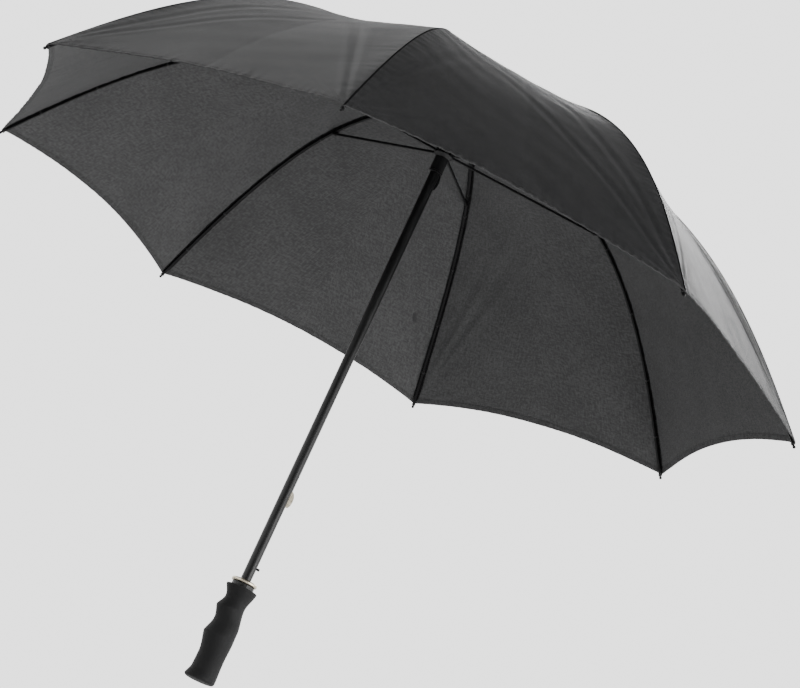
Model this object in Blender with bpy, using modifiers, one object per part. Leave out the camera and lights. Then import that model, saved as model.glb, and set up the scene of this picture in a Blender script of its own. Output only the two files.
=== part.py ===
"""A golf umbrella, open and standing on its handle, in metres.

The origin is the centre of the handle's butt and +Z runs up the shaft to the ferrule. Rib 1 points along +X,
and the ribs count anticlockwise seen from above. Ribs and stretchers are equally long between their pins, and
the runner's pins stand as far out as the notch's, so a stretcher always turns twice as far as its rib and the
runner goes straight down the shaft.
"""

import math

import bmesh
import bpy
from mathutils import Matrix, Vector

# Driving dimensions
RIBS = 8
PITCH = 2 * math.pi / RIBS

SHAFT_R = 0.0078
SHAFT_WALL = 0.0011
SHAFT_BASE_Z = 0.0100
SHAFT_TOP_Z = 0.9850
CLEARANCE = 0.0003

NOTCH_PIN_Z = 0.9650  # height of the rib hinges
PIN_CIRCLE_R = 0.0125  # the hinges' distance from the shaft's axis, at the notch and at the runner
INNER_ARC = 0.3175  # length of a rib from the notch hinge to its bracket
OUTER_ARC = 0.4341  # and from the bracket to its tip
START_SLOPE = math.radians(0.3)  # how far a rib already points down at the notch
BEND = math.radians(50.0)  # how far it turns on its way to the tip
BRACKET_DROP = 0.0050  # from the rib's centre line to the stretcher's pin

RIB_DEPTH = 0.0040
RIB_WIDTH = 0.0036
STRETCHER_DEPTH = 0.0032
STRETCHER_WIDTH = 0.0032
EYE_R = 0.0021
EYE_HOLE_R = 0.0010
WIRE_R = 0.0006
CHEEK_GAP = 0.0042
CHEEK = 0.0009

FABRIC = 0.0008
FABRIC_LIFT = 0.0048  # from the rib's centre line to the middle of the cloth
FABRIC_SAG = 0.0080  # how far the middle of a panel hangs inside the straight line between its ribs
HEM_RISE = 0.0270  # how far a panel's hem is cut back at its middle
STRAP_LIFT = 0.0075  # of the closing band, to its middle
PANEL_GAP = 0.0004  # left open at the middle of a panel, where two ribs' halves of it meet
TIP_SHOW = 0.0080  # length of rib tip past the cloth's corner

SPRING_AZIMUTH = 3.5 * PITCH  # both catches and the stop pin, between two ribs
FINGER_AZIMUTH = SPRING_AZIMUTH + math.pi
STRAP_AZIMUTH = 5 * PITCH  # the rib that the closing band is sewn beside
GRIP_LENGTH = 0.1458
RUNNER_SLEEVE = 0.0360  # how far the runner reaches below its stretchers' pins

PARTS = "golf_umbrella"
CUTTERS = "cutters"


def clear_scene():
    for thing in list(bpy.data.objects):
        bpy.data.objects.remove(thing)
    for name in (PARTS, CUTTERS):
        bpy.context.scene.collection.children.link(bpy.data.collections.new(name))


def material(name, colour, roughness, metallic=0.0):
    made = bpy.data.materials.new(name)
    made.use_nodes = True
    shader = made.node_tree.nodes["Principled BSDF"]
    shader.inputs["Base Color"].default_value = (*colour, 1.0)
    shader.inputs["Roughness"].default_value = roughness
    shader.inputs["Metallic"].default_value = metallic
    return made


def keep(thing, coat):
    """Files an object with the parts and gives it its finish."""
    for group in list(thing.users_collection):
        group.objects.unlink(thing)
    bpy.data.collections[PARTS].objects.link(thing)
    if coat is not None:
        thing.data.materials.clear()
        thing.data.materials.append(coat)
    if thing.type == "MESH":
        thing.data.shade_smooth()
        thing.data.set_sharp_from_angle(angle=math.radians(35))
    return thing


def hide_cutter(thing):
    for group in list(thing.users_collection):
        group.objects.unlink(thing)
    bpy.data.collections[CUTTERS].objects.link(thing)
    thing.hide_render = True
    thing.display_type = "WIRE"
    return thing


def new_object(name, mesh):
    thing = bpy.data.objects.new(name, mesh)
    bpy.context.scene.collection.objects.link(thing)
    return thing


def from_bmesh(name, shape):
    mesh = bpy.data.meshes.new(name)
    shape.to_mesh(mesh)
    shape.free()
    return new_object(name, mesh)


def as_mesh(thing):
    """The evaluated shape as a plain mesh object of the same name, with its loose caps welded on."""
    bpy.context.view_layer.update()
    seen = thing.evaluated_get(bpy.context.evaluated_depsgraph_get())
    mesh = bpy.data.meshes.new_from_object(seen)
    shape = bmesh.new()
    shape.from_mesh(mesh)
    bmesh.ops.remove_doubles(shape, verts=shape.verts, dist=1e-6)
    bmesh.ops.recalc_face_normals(shape, faces=shape.faces)
    shape.to_mesh(mesh)
    shape.free()
    place = thing.matrix_world.copy()
    name = thing.name
    bpy.data.objects.remove(thing)
    plain = new_object(name, mesh)
    plain.matrix_world = place
    return plain


def boolean(thing, other, operation, solver="EXACT"):
    """Joins or cuts for good, and drops the other object."""
    step = thing.modifiers.new(operation, "BOOLEAN")
    step.operation = operation
    step.object = other
    step.solver = solver
    done = as_mesh(thing)
    bpy.data.objects.remove(other)
    return done


def turned(name, profile, steps=32):
    """A profile of (radius, height) points that runs down the outer side, turned about Z."""
    mesh = bpy.data.meshes.new(name)
    points = [(r, 0.0, z) for r, z in profile]
    mesh.from_pydata(points, [(i, i + 1) for i in range(len(points) - 1)], [])
    thing = new_object(name, mesh)
    screw = thing.modifiers.new("turn", "SCREW")
    screw.steps = steps
    screw.render_steps = steps
    screw.use_merge_vertices = True
    screw.merge_threshold = 1e-5
    return thing


def ring_profile(inner, outer, low, high):
    """A closed rectangle for turned(): down the outer side, in along the bottom and up the bore."""
    return [(inner, high), (outer, high), (outer, low), (inner, low), (inner, high)]


def box(name, size, centre):
    shape = bmesh.new()
    bmesh.ops.create_cube(shape, size=1.0)
    bmesh.ops.scale(shape, vec=size, verts=shape.verts)
    bmesh.ops.translate(shape, vec=centre, verts=shape.verts)
    return from_bmesh(name, shape)


def rod(name, radius, start, end, sides=12):
    """A cylinder between two points."""
    along = Vector(end) - Vector(start)
    shape = bmesh.new()
    size = {"radius1": radius, "radius2": radius, "depth": along.length}
    bmesh.ops.create_cone(shape, cap_ends=True, segments=sides, **size)
    turn = along.to_track_quat("Z", "Y").to_matrix().to_4x4()
    middle = Matrix.Translation((Vector(start) + Vector(end)) / 2)
    bmesh.ops.transform(shape, matrix=middle @ turn, verts=shape.verts)
    return from_bmesh(name, shape)


def arc(centre, radius, first, last, count):
    """Points on an arc in the X-Z plane, angles in radians from +X towards +Z."""
    turns = [first + (last - first) * i / (count - 1) for i in range(count)]
    return [(centre[0] + radius * math.cos(t), centre[1] + radius * math.sin(t)) for t in turns]


def plate(name, outline, width, holes=()):
    """A flat outline in the X-Z plane, `width` thick along Y, with round holes given as (centre, radius)."""
    curve = bpy.data.curves.new(name, "CURVE")
    curve.dimensions = "2D"
    curve.fill_mode = "BOTH"
    curve.extrude = width / 2
    for loop in [outline] + [arc(c, r, 0.0, 2 * math.pi * 7 / 8, 8) for c, r in holes]:
        spline = curve.splines.new("POLY")
        spline.points.add(len(loop) - 1)
        for point, (x, z) in zip(spline.points, loop):
            point.co = (x, z, 0.0, 1.0)
        spline.use_cyclic_u = True
    thing = new_object(name, curve)
    thing.matrix_world = Matrix.Rotation(math.pi / 2, 4, "X")
    plain = as_mesh(thing)
    plain.data.transform(plain.matrix_world)
    plain.matrix_world = Matrix.Identity(4)
    return plain


# The rib's line is that of a springy rod bent over the stretcher: its curvature grows evenly from nothing at
# the notch to its most at the bracket, and falls evenly to nothing at the tip.
PEAK_CURVATURE = 2 * BEND / (INNER_ARC + OUTER_ARC)


def rib_slope(s):
    """How steeply the rib points down at arc length s from the notch hinge."""
    inner = min(s, INNER_ARC)
    slope = START_SLOPE + PEAK_CURVATURE * inner**2 / (2 * INNER_ARC)
    past = s - inner
    return slope + PEAK_CURVATURE * (past - past**2 / (2 * OUTER_ARC))


def rib_point(s, lift=0.0, steps=40):
    """(radius, height) on the rib's line at arc length s, or that far outside it."""
    length = s / steps
    radius = PIN_CIRCLE_R + sum(length * math.cos(rib_slope((i + 0.5) * length)) for i in range(steps))
    height = NOTCH_PIN_Z - sum(length * math.sin(rib_slope((i + 0.5) * length)) for i in range(steps))
    slope = rib_slope(s)
    return radius + lift * math.sin(slope), height + lift * math.cos(slope)


FLEX_PIN = rib_point(INNER_ARC)
STRETCHER_PIN = rib_point(INNER_ARC, -BRACKET_DROP)
RUNNER_PIN_Z = 2 * STRETCHER_PIN[1] - NOTCH_PIN_Z  # equal arms put the bracket halfway between the hubs
ROD_LENGTH = INNER_ARC + OUTER_ARC


def bar_outline(start, end, depth, steps, lead=(), tail=()):
    """An outline that follows the rib's line from arc length start to end, between its end shapes."""
    spots = [start + (end - start) * i / steps for i in range(steps + 1)]
    top = [rib_point(s, depth / 2) for s in spots]
    bottom = [rib_point(s, -depth / 2) for s in reversed(spots)]
    return list(lead) + top + list(tail) + bottom


def rib_inner():
    """A rib's inner half: an eye for the notch wire, and a bracket with two cheeks and its two rivets."""
    eye = arc((PIN_CIRCLE_R, NOTCH_PIN_Z), EYE_R, math.radians(290), math.radians(70), 7)
    gap = 0.0024
    outline = bar_outline(0.0022, INNER_ARC - gap, RIB_DEPTH, 9, lead=eye)
    bar = plate("rib_inner", outline, RIB_WIDTH, [((PIN_CIRCLE_R, NOTCH_PIN_Z), EYE_HOLE_R)])
    slope = rib_slope(INNER_ARC)
    place = Matrix.Translation((FLEX_PIN[0], 0.0, FLEX_PIN[1])) @ Matrix.Rotation(slope, 4, "Y")
    outside = CHEEK_GAP / 2 + CHEEK
    bridge = box("bridge", (0.0110, 2 * outside - CHEEK, RIB_DEPTH - 0.0010), (-0.0085, 0.0, 0.0))
    bridge.data.transform(place)
    bar = boolean(bar, bridge, "UNION")
    crown = arc((0.0, 0.0), 0.0024, math.radians(90), math.radians(0), 3)
    foot = arc((0.0, -BRACKET_DROP), 0.0027, math.radians(0), math.radians(-180), 6)
    cheek = [(-0.0090, 0.0012), (-0.0080, 0.0020)] + crown + foot + [(-0.0090, -0.0020)]
    cheek = list(reversed(cheek))
    for side in (-1, 1):
        wall = plate("cheek", cheek, CHEEK)
        wall.data.transform(place @ Matrix.Translation((0.0, side * (CHEEK_GAP + CHEEK) / 2, 0.0)))
        bar = boolean(bar, wall, "UNION")
    for drop in (0.0, -BRACKET_DROP):
        head = outside + 0.0004
        rivet = rod("rivet", 0.0007, (0.0, -head, drop), (0.0, head, drop), 8)
        rivet.data.transform(place)
        bar = boolean(bar, rivet, "UNION", "MANIFOLD")
    return bar


def rib_outer():
    """A rib's outer half: a thicker socket from the bracket to its bump, then the springy rod."""
    socket = 0.0600
    taper = 0.0040
    slope = rib_slope(INNER_ARC)
    eye = arc(FLEX_PIN, RIB_DEPTH / 2, -slope - math.pi / 2, -slope - 3 * math.pi / 2, 7)
    thick = RIB_DEPTH / 2
    thin = RIB_DEPTH / 2 - 0.0004
    bump = thick + 0.0006
    spots = [(0.0005, thick), (socket * 0.5, thick), (socket - taper, thick), (socket - 0.0015, bump)]
    spots += [(socket + 0.0015, bump), (socket + taper, thin)]
    rest = OUTER_ARC - TIP_SHOW - 0.0040 - socket - taper
    spots += [(socket + taper + rest * i / 8, thin) for i in range(1, 9)]
    top = [rib_point(INNER_ARC + s, half) for s, half in spots]
    bottom = [rib_point(INNER_ARC + s, -half) for s, half in reversed(spots)]
    return plate("rib_outer", eye + top + bottom, RIB_WIDTH, [(FLEX_PIN, EYE_HOLE_R)])


def rib_tip():
    """The metal end cap: a tube over the rod's end with a rounded ball nose past the cloth."""
    start = ROD_LENGTH - TIP_SHOW - 0.0036
    length = ROD_LENGTH - start
    profile = [(0.0, 0.0), (0.0016, 0.0005), (0.0023, 0.0016), (0.0023, 0.0032), (0.0019, 0.0040)]
    profile += [(0.0019, 0.0062), (0.0025, 0.0068), (0.0025, length), (0.0, length)]
    cap = as_mesh(turned("rib_tip", profile, 10))
    slope = rib_slope(ROD_LENGTH)
    nose = rib_point(ROD_LENGTH)
    place = Matrix.Translation((nose[0], 0.0, nose[1])) @ Matrix.Rotation(slope - math.pi / 2, 4, "Y")
    cap.data.transform(place)
    return cap


def stretcher():
    """A straight arm with an eye at each end, from the runner's wire to the bracket's lower rivet."""
    inner = (PIN_CIRCLE_R, RUNNER_PIN_Z)
    outer = STRETCHER_PIN
    lean = math.atan2(outer[1] - inner[1], outer[0] - inner[0])
    open_half = math.asin(STRETCHER_DEPTH / 2 / EYE_R)
    near = arc(inner, EYE_R, lean + 2 * math.pi - open_half, lean + open_half, 8)
    far = arc(outer, EYE_R, lean + math.pi - open_half, lean - math.pi + open_half, 8)
    return plate("stretcher", near + far, STRETCHER_WIDTH, [(inner, EYE_HOLE_R), (outer, EYE_HOLE_R)])


def cloth_point(s, across, lift):
    """A point of the canopy in rib 1's half-panels; across runs from -1 to 1 between the panels' middles."""
    radius, height = rib_point(s, lift)
    slope = rib_slope(s)
    share = abs(across)
    sag = FABRIC_SAG * math.sin(math.pi * min(s / ROD_LENGTH, 1.0)) * share * (2 - share)
    out = radius * math.cos(PITCH / 2) - sag * math.sin(slope)
    beside = radius * math.sin(PITCH / 2) * (1 - share)
    x = out * math.cos(PITCH / 2) + beside * math.sin(PITCH / 2)
    y = out * math.sin(PITCH / 2) - beside * math.cos(PITCH / 2)
    return Vector((x, math.copysign(y, across), height - sag * math.cos(slope)))


def cloth(name, start, trim, across, lift, rows, columns):
    """A patch of the canopy between two places across the panel, given its thickness outwards."""
    shape = bmesh.new()
    grid = []
    for i in range(rows + 1):
        line = []
        for j in range(columns + 1):
            side = across[0] + (across[1] - across[0]) * j / columns
            share = abs(side)
            hem = ROD_LENGTH - TIP_SHOW - trim - HEM_RISE * share * (2 - share)
            s = start + (hem - start) * i / rows
            half = rib_point(s)[0] * math.sin(PITCH / 2)
            line.append(shape.verts.new(cloth_point(s, side * (1 - PANEL_GAP / half), lift)))
        grid.append(line)
    for i in range(rows):
        for j in range(columns):
            shape.faces.new((grid[i][j], grid[i + 1][j], grid[i + 1][j + 1], grid[i][j + 1]))
    sheet = from_bmesh(name, shape)
    thick = sheet.modifiers.new("thickness", "SOLIDIFY")
    thick.thickness = FABRIC
    thick.offset = 0.0
    return sheet


def on_joint(thing, point):
    """Moves an object's origin onto its joint's axis, and leaves its shape where it is."""
    thing.data.transform(Matrix.Translation(-Vector(point)) @ thing.matrix_world)
    thing.matrix_world = Matrix.Translation(point)
    return thing


def spoke_point(radius, height, azimuth):
    return Vector((radius * math.cos(azimuth), radius * math.sin(azimuth), height))


def spoke_copies(pattern, name, coat, pivot):
    """One object for each rib that shares the pattern's mesh; pivot is the (radius, height) of its hinge."""
    on_joint(pattern, (pivot[0], 0.0, pivot[1]))
    for spoke in range(RIBS):
        thing = new_object(f"{name}_{spoke + 1}", pattern.data)
        thing.matrix_world = Matrix.Rotation(spoke * PITCH, 4, "Z") @ pattern.matrix_world
        keep(thing, coat if spoke == 0 else None)
    bpy.data.objects.remove(pattern)


def slot_cutter(inner, outer, low, high, width, azimuth):
    cutter = box("cutter", (outer - inner, width, high - low), ((inner + outer) / 2, 0.0, (low + high) / 2))
    cutter.data.transform(Matrix.Rotation(azimuth, 4, "Z"))
    return hide_cutter(cutter)


def hub(name, profile, low, high, outer, width):
    """A turned hub with a slot for each rib or stretcher."""
    body = as_mesh(turned(name, profile, 40))
    for spoke in range(RIBS):
        cutter = slot_cutter(0.0099, outer + 0.002, low, high, width, spoke * PITCH)
        body = boolean(body, cutter, "DIFFERENCE")
    return body


def notch():
    """The fixed hub, with a groove round it for the wire that holds the ribs' eyes."""
    bore = SHAFT_R + CLEARANCE
    low = NOTCH_PIN_Z - 0.0085
    top = NOTCH_PIN_Z + 0.0009
    profile = [(bore, top), (0.0155, top), (0.0155, NOTCH_PIN_Z - 0.0064), (0.0115, low)]
    profile += [(bore, low), (bore, top)]
    groove = [(0.0116, NOTCH_PIN_Z + 0.0020), (0.0170, NOTCH_PIN_Z + 0.0020), (0.0170, NOTCH_PIN_Z - 0.0010)]
    groove += [(0.0116, NOTCH_PIN_Z - 0.0010), (0.0116, NOTCH_PIN_Z + 0.0020)]
    body = hub("notch", profile, low - 0.002, top + 0.002, 0.0155, RIB_WIDTH + 2 * CLEARANCE + 0.0002)
    return boolean(body, hide_cutter(as_mesh(turned("cutter", groove, 40))), "DIFFERENCE")


def runner():
    """The sliding hub: a slotted crown over a long sleeve, slit so that it clears the catches."""
    bore = SHAFT_R + CLEARANCE
    z = RUNNER_PIN_Z
    foot = z - RUNNER_SLEEVE
    profile = [(bore, z + 0.0030), (0.0112, z + 0.0030), (0.0150, z + 0.0010), (0.0155, z - 0.0012)]
    profile += [(0.0155, z - 0.0052), (0.0108, z - 0.0098), (0.0104, foot + 0.0030), (0.0114, foot + 0.0022)]
    profile += [(0.0114, foot), (bore, foot), (bore, z + 0.0030)]
    body = hub("runner", profile, z - 0.0048, z + 0.006, 0.0155, STRETCHER_WIDTH + 2 * CLEARANCE + 0.0002)
    groove = [(0.0116, z + 0.0050), (0.0170, z + 0.0050), (0.0170, z - 0.0010)]
    groove += [(0.0116, z - 0.0010), (0.0116, z + 0.0050)]
    body = boolean(body, hide_cutter(as_mesh(turned("cutter", groove, 40))), "DIFFERENCE")
    slit = slot_cutter(SHAFT_R - 0.001, 0.0170, foot - 0.002, z + 0.006, 0.0028, SPRING_AZIMUTH)
    return boolean(body, slit, "DIFFERENCE")


def wire_ring(name, height):
    shape = bmesh.new()
    around, sides = 40, 5
    rings = []
    for i in range(around):
        turn = Matrix.Rotation(2 * math.pi * i / around, 3, "Z")
        ring = []
        for j in range(sides):
            side = 2 * math.pi * j / sides
            point = Vector((PIN_CIRCLE_R + WIRE_R * math.cos(side), 0.0, height + WIRE_R * math.sin(side)))
            ring.append(shape.verts.new(turn @ point))
        rings.append(ring)
    for i in range(around):
        this, after = rings[i], rings[(i + 1) % around]
        for j in range(sides):
            k = (j + 1) % sides
            shape.faces.new((this[j], after[j], after[k], this[k]))
    bmesh.ops.recalc_face_normals(shape, faces=shape.faces)
    return from_bmesh(name, shape)


CATCH_HEIGHT = 0.0260


def catch_outline(foot, blunt_top, reach):
    """A leaf catch seen from the side: a rounded nose that slopes away from its blunt end."""
    root = SHAFT_R - 0.0032
    height = CATCH_HEIGHT
    nose = [(0.0, 0.0000), (0.0034, 0.0006), (0.0056, 0.0050), (0.0064, 0.0110), (0.0060, 0.0165)]
    nose += [(0.0042, 0.0215), (0.0018, 0.0245), (0.0, 0.0255)]
    side = [(SHAFT_R + reach * out, foot + (height - up if blunt_top else up)) for out, up in nose]
    if blunt_top:
        side.reverse()
    return [(root, foot + height)] + [(root, foot)] + side


def catch(name, foot, blunt_top, reach):
    """A catch whose nose stands out of the shaft by reach, as a share of the lower one's."""
    leaf = plate(name, list(reversed(catch_outline(foot, blunt_top, reach))), 0.0018)
    leaf.data.transform(Matrix.Rotation(SPRING_AZIMUTH, 4, "Z"))
    return on_joint(leaf, spoke_point(SHAFT_R, foot + CATCH_HEIGHT / 2, SPRING_AZIMUTH))


BOTTOM_CATCH_Z = 0.2795
TOP_CATCH_Z = RUNNER_PIN_Z - RUNNER_SLEEVE - 0.0005 - CATCH_HEIGHT
STOP_PIN_Z = 0.1800


def shaft():
    """A painted tube with a slot for each catch and a hole for the stop pin."""
    profile = ring_profile(SHAFT_R - SHAFT_WALL, SHAFT_R, SHAFT_BASE_Z, SHAFT_TOP_Z)
    tube = as_mesh(turned("shaft", profile, 32))
    for foot in (BOTTOM_CATCH_Z, TOP_CATCH_Z):
        cutter = slot_cutter(0.0050, 0.0100, foot - 0.0004, foot + 0.0264, 0.0026, SPRING_AZIMUTH)
        tube = boolean(tube, cutter, "DIFFERENCE")
    hole = rod("cutter", 0.0023, (0.0040, 0.0, STOP_PIN_Z), (0.0120, 0.0, STOP_PIN_Z))
    hole.data.transform(Matrix.Rotation(SPRING_AZIMUTH, 4, "Z"))
    return boolean(tube, hide_cutter(hole), "DIFFERENCE")


def stop_pin():
    pin = rod("stop_pin", 0.0019, (0.0058, 0.0, STOP_PIN_Z), (SHAFT_R + 0.0046, 0.0, STOP_PIN_Z))
    pin.data.transform(Matrix.Rotation(SPRING_AZIMUTH, 4, "Z"))
    return pin


def smooth_step(x):
    x = min(max(x, 0.0), 1.0)
    return x * x * (3 - 2 * x)


def through(stations, z):
    """A smooth value at height z between (height, value) stations, highest first."""
    for (high, above), (low, below) in zip(stations, stations[1:]):
        if z >= low:
            return below + (above - below) * smooth_step((z - low) / (high - low))
    return stations[-1][1]


# The grip's two side lines: (height, radius) where each swells and waists, from the top flare to the butt's.
FINGER_SIDE = [(0.1458, 0.0236), (0.1280, 0.0172), (0.1120, 0.0238), (0.0930, 0.0189), (0.0705, 0.0248)]
FINGER_SIDE += [(0.0400, 0.0188), (0.0200, 0.0190), (0.0045, 0.0240), (0.0, 0.0225)]
PALM_SIDE = [(0.1458, 0.0238), (0.1180, 0.0173), (0.0850, 0.0220), (0.0640, 0.0224), (0.0390, 0.0215)]
PALM_SIDE += [(0.0060, 0.0226), (0.0, 0.0215)]


def grip_radius(z, azimuth):
    facing = smooth_step((1 + math.cos(azimuth - FINGER_AZIMUTH)) / 2)
    return through(PALM_SIDE, z) + (through(FINGER_SIDE, z) - through(PALM_SIDE, z)) * facing


def handle_grip():
    """The soft foam grip: a loft between unlike rings, domed at the butt, with a bore from above."""
    sides, rows = 20, 22
    edge = 0.0045
    shape = bmesh.new()
    rings = [(0.0, 0.45), (0.0004, 0.80), (0.0016, 0.94)]
    rings += [(edge + (GRIP_LENGTH - 0.0015 - edge) * i / rows, 1.0) for i in range(rows + 1)]
    rings += [(GRIP_LENGTH, 0.93)]
    loops = []
    for z, share in rings:
        loop = []
        for j in range(sides):
            azimuth = 2 * math.pi * j / sides
            radius = grip_radius(z, azimuth) * share
            loop.append(shape.verts.new((radius * math.cos(azimuth), radius * math.sin(azimuth), z)))
        loops.append(loop)
    for low, high in zip(loops, loops[1:]):
        for j in range(sides):
            k = (j + 1) % sides
            shape.faces.new((low[j], low[k], high[k], high[j]))
    shape.faces.new(list(reversed(loops[0])))
    shape.faces.new(loops[-1])
    grip = from_bmesh("handle_grip", shape)
    bore = rod("cutter", 0.0123, (0.0, 0.0, 0.0057), (0.0, 0.0, GRIP_LENGTH + 0.01), 32)
    return boolean(grip, hide_cutter(bore), "DIFFERENCE")


def handle_core():
    """The plastic sleeve under the foam, glued to the shaft, with a collar that shows above the grip."""
    bore = SHAFT_R + CLEARANCE
    profile = [(bore, 0.1520), (0.0166, 0.1520), (0.0170, 0.1514), (0.0170, 0.1464), (0.0120, 0.1461)]
    profile += [(0.0120, 0.0060), (0.0, 0.0060), (0.0, 0.0096), (bore, 0.0096), (bore, 0.1520)]
    return turned("handle_core", profile, 24)


def handle_ring():
    bore = SHAFT_R + CLEARANCE
    outer = 0.0196
    low, high = 0.1523, 0.1578
    profile = [(bore, high - 0.0010), (0.0150, high)]
    profile += [(outer - 0.0016, high - 0.0002), (outer - 0.0004, high - 0.0014)]
    profile += [(outer, (low + high) / 2), (outer - 0.0004, low + 0.0014), (outer - 0.0016, low)]
    profile += [(bore, low), (bore, high - 0.0010)]
    return turned("handle_ring", profile, 32)


CLOTH_TOP_Z = NOTCH_PIN_Z + FABRIC_LIFT + FABRIC / 2


def crown_cap():
    """The cloth rosette's stiff washer, over the canopy's middle."""
    bore = SHAFT_R + CLEARANCE
    low = CLOTH_TOP_Z + 0.0004
    profile = [(bore, low + 0.0022), (0.0120, low + 0.0022), (0.0190, low + 0.0016), (0.0215, low + 0.0004)]
    profile += [(0.0212, low), (bore, low), (bore, low + 0.0022)]
    return turned("crown_cap", profile, 24)


def ferrule():
    """The pointed end cap, screwed down on the crown over the shaft's end."""
    bore = SHAFT_R + CLEARANCE
    low = CLOTH_TOP_Z + 0.0004 + 0.0022 + CLEARANCE
    inside = SHAFT_TOP_Z + CLEARANCE
    top = 1.0200
    profile = [(0.0, top), (0.0042, top), (0.0052, top - 0.0010)]
    profile += [(0.0056, top - 0.0040), (0.0062, top - 0.0120)]
    profile += [(0.0088, inside + 0.0030), (0.0106, low + 0.0060), (0.0118, low + 0.0020), (0.0118, low)]
    profile += [(bore, low), (bore, inside), (0.0, inside)]
    return turned("ferrule", profile, 24)


def collar(name, low, high, outer):
    bore = SHAFT_R + CLEARANCE
    edge = 0.0006
    profile = [(bore, high), (outer - edge, high), (outer, high - edge)]
    profile += [(outer, low + edge), (outer - edge, low)]
    profile += [(bore, low), (bore, high)]
    return turned(name, profile, 24)


def tie_strap():
    """The closing band, lying on the cloth of one panel beside its seam."""
    start = 0.5400
    band = as_mesh(cloth("tie_strap", start, 0.0450, (0.16, 0.26), STRAP_LIFT, 8, 2))
    band.matrix_world = Matrix.Rotation(STRAP_AZIMUTH, 4, "Z")
    return on_joint(band, spoke_point(*FLEX_PIN, STRAP_AZIMUTH))


def strap_snap():
    """The press stud near the band's free end."""
    where = cloth_point(0.6500, 0.21, STRAP_LIFT)
    ahead = cloth_point(0.6600, 0.21, STRAP_LIFT)
    beside = cloth_point(0.6500, 0.25, STRAP_LIFT)
    out = (ahead - where).cross(beside - where).normalized()
    snap = rod("strap_snap", 0.0050, where + out * 0.0009, where + out * 0.0031, 20)
    snap.data.transform(Matrix.Rotation(STRAP_AZIMUTH, 4, "Z"))
    return on_joint(snap, spoke_point(*FLEX_PIN, STRAP_AZIMUTH))


def build():
    clear_scene()
    black_paint = material("black_paint", (0.012, 0.012, 0.013), 0.35)
    black_plastic = material("black_plastic", (0.014, 0.014, 0.015), 0.45)
    black_foam = material("black_foam", (0.020, 0.020, 0.021), 0.75)
    black_cloth = material("black_cloth", (0.030, 0.030, 0.031), 0.70)
    pale_metal = material("pale_metal", (0.62, 0.57, 0.46), 0.25, 1.0)
    grey_metal = material("grey_metal", (0.42, 0.42, 0.43), 0.30, 1.0)
    keep(shaft(), black_paint)
    keep(handle_core(), black_plastic)
    keep(handle_grip(), black_foam)
    keep(handle_ring(), pale_metal)
    keep(stop_pin(), black_plastic)
    keep(catch("bottom_catch", BOTTOM_CATCH_Z, False, 1.0), pale_metal)
    keep(catch("top_catch", TOP_CATCH_Z, True, 0.62), black_paint)
    runner_pin = (PIN_CIRCLE_R, 0.0, RUNNER_PIN_Z)
    keep(on_joint(runner(), runner_pin), black_plastic)
    keep(on_joint(wire_ring("runner_wire", RUNNER_PIN_Z), runner_pin), grey_metal)
    keep(collar("top_stop", RUNNER_PIN_Z + 0.0035, RUNNER_PIN_Z + 0.0085, 0.0098), black_plastic)
    keep(notch(), black_plastic)
    keep(wire_ring("notch_wire", NOTCH_PIN_Z), grey_metal)
    keep(crown_cap(), black_cloth)
    keep(ferrule(), black_plastic)
    keep(tie_strap(), black_cloth)
    keep(strap_snap(), grey_metal)
    spoke_copies(rib_inner(), "rib_inner", black_paint, (PIN_CIRCLE_R, NOTCH_PIN_Z))
    spoke_copies(rib_outer(), "rib_outer", black_paint, FLEX_PIN)
    spoke_copies(rib_tip(), "rib_tip", grey_metal, FLEX_PIN)
    spoke_copies(stretcher(), "stretcher", black_paint, STRETCHER_PIN)
    sheet = cloth("canopy", 0.0005, 0.0, (-1.0, 1.0), FABRIC_LIFT, 16, 4)
    spoke_copies(as_mesh(sheet), "canopy", black_cloth, FLEX_PIN)


build()
print("runner pin height", round(RUNNER_PIN_Z, 5), "bracket", [round(v, 5) for v in STRETCHER_PIN])
print("rib tip", [round(v, 5) for v in rib_point(ROD_LENGTH)], "flex", [round(v, 5) for v in FLEX_PIN])
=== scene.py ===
# %% [markdown]
# # A golf umbrella in eight panels
#
# The CAD model gives the hard parts of this umbrella and says how they move. This script gives it cloth, thread,
# foam and finishes. Each step below says what a piece is on the real object and why it is made the way it is.
#
# Rib 1 points along +X, the handle's butt stands at the origin and +Z runs up the shaft. Lengths are in metres.

import math

import bpy
import numpy as np
from mathutils import Matrix, Vector


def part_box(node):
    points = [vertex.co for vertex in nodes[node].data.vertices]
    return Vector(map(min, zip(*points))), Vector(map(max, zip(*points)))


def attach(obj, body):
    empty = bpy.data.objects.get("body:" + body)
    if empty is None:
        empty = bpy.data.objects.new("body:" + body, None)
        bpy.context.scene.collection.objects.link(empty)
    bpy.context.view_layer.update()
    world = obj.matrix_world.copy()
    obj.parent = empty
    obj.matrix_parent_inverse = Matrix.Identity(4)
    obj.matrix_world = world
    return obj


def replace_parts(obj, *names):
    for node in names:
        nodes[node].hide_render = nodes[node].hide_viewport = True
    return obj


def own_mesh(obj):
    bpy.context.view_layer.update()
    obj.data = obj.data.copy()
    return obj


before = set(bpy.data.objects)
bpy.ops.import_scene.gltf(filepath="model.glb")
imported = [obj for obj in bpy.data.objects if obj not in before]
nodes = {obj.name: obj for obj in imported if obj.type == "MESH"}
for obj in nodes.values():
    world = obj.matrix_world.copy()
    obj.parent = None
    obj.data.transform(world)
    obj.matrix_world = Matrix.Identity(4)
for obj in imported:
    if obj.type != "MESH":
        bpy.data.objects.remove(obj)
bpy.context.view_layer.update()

# %% [markdown]
# ## The camera
#
# The umbrella is seen from below its hem, from the side of ribs 2 and 3, with the shaft leaning to the right. A
# camera object looks along its own -Z with +Y up, so its matrix holds the picture's right, the picture's up and the
# way back from the object as columns.

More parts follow.
